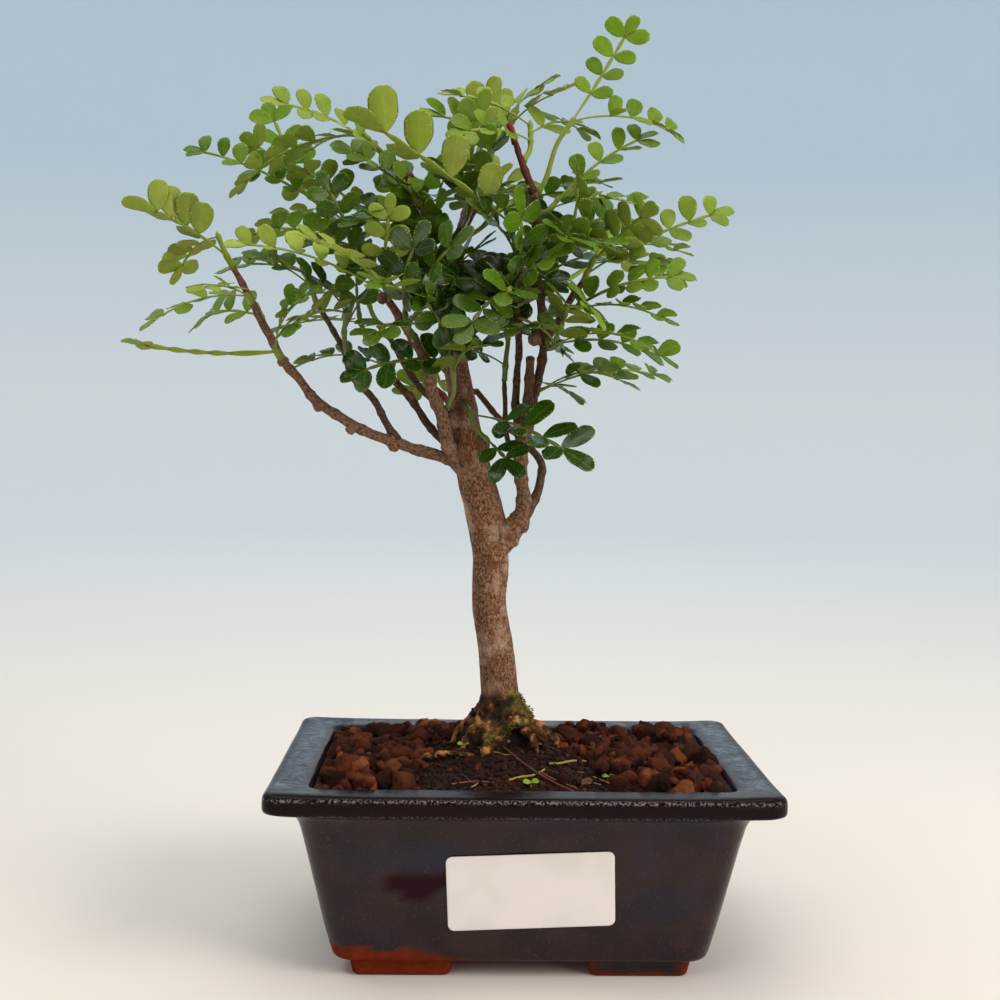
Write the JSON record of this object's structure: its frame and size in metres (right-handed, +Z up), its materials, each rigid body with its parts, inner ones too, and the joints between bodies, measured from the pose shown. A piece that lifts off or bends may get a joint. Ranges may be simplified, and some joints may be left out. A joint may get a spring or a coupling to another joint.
{
  "type": "chinese pepper bonsai",
  "caption": "Small indoor bonsai tree with feathery compound leaves on a leaning trunk, growing in soil in a dark glazed rectangular pot with a flared rim and corner feet.",
  "frame": {"origin": "Middle of the whole object's box, at the height of the ground that its feet stand on. The pot's middle lies 23.5 mm to the right of it and 5.5 mm in front of it.", "axes": "+X to the right along the pot's long side, +Y to the back along its short side, +Z up. The pot's labelled long side faces -Y."},
  "size_m": [0.201, 0.1214, 0.2985],
  "materials": {
    "dark_glaze": "glossy blue-black glaze on stoneware",
    "humus_and_clay": "dark moist humus with red-brown clay granules",
    "bark": "grey-brown bark",
    "green_leaf": "satin green leaves and green stems",
    "blank_paper": "smooth white paper"
  },
  "bodies": {
    "root": {"blank_label": "blank_paper", "pot": "dark_glaze", "soil": "humus_and_clay", "spray_01": "green_leaf", "spray_02": "green_leaf", "spray_03": "green_leaf", "spray_04": "green_leaf", "spray_05": "green_leaf", "spray_06": "green_leaf", "spray_07": "green_leaf", "spray_08": "green_leaf", "spray_09": "green_leaf", "spray_10": "green_leaf", "spray_11": "green_leaf", "spray_12": "green_leaf", "spray_13": "green_leaf", "spray_14": "green_leaf", "spray_15": "green_leaf", "spray_16": "green_leaf", "spray_17": "green_leaf", "spray_18": "green_leaf", "spray_19": "green_leaf", "spray_20": "green_leaf", "spray_21": "green_leaf", "spray_22": "green_leaf", "spray_23": "green_leaf", "spray_24": "green_leaf", "spray_25": "green_leaf", "spray_26": "green_leaf", "spray_27": "green_leaf", "spray_28": "green_leaf", "spray_29": "green_leaf", "spray_30": "green_leaf", "spray_31": "green_leaf", "spray_32": "green_leaf", "spray_33": "green_leaf", "spray_34": "green_leaf", "spray_35": "green_leaf", "spray_36": "green_leaf", "spray_37": "green_leaf", "spray_38": "green_leaf", "spray_39": "green_leaf", "spray_40": "green_leaf", "spray_41": "green_leaf", "spray_42": "green_leaf", "spray_43": "green_leaf", "spray_44": "green_leaf", "trunk": "bark"}
  },
  "joints": []
}
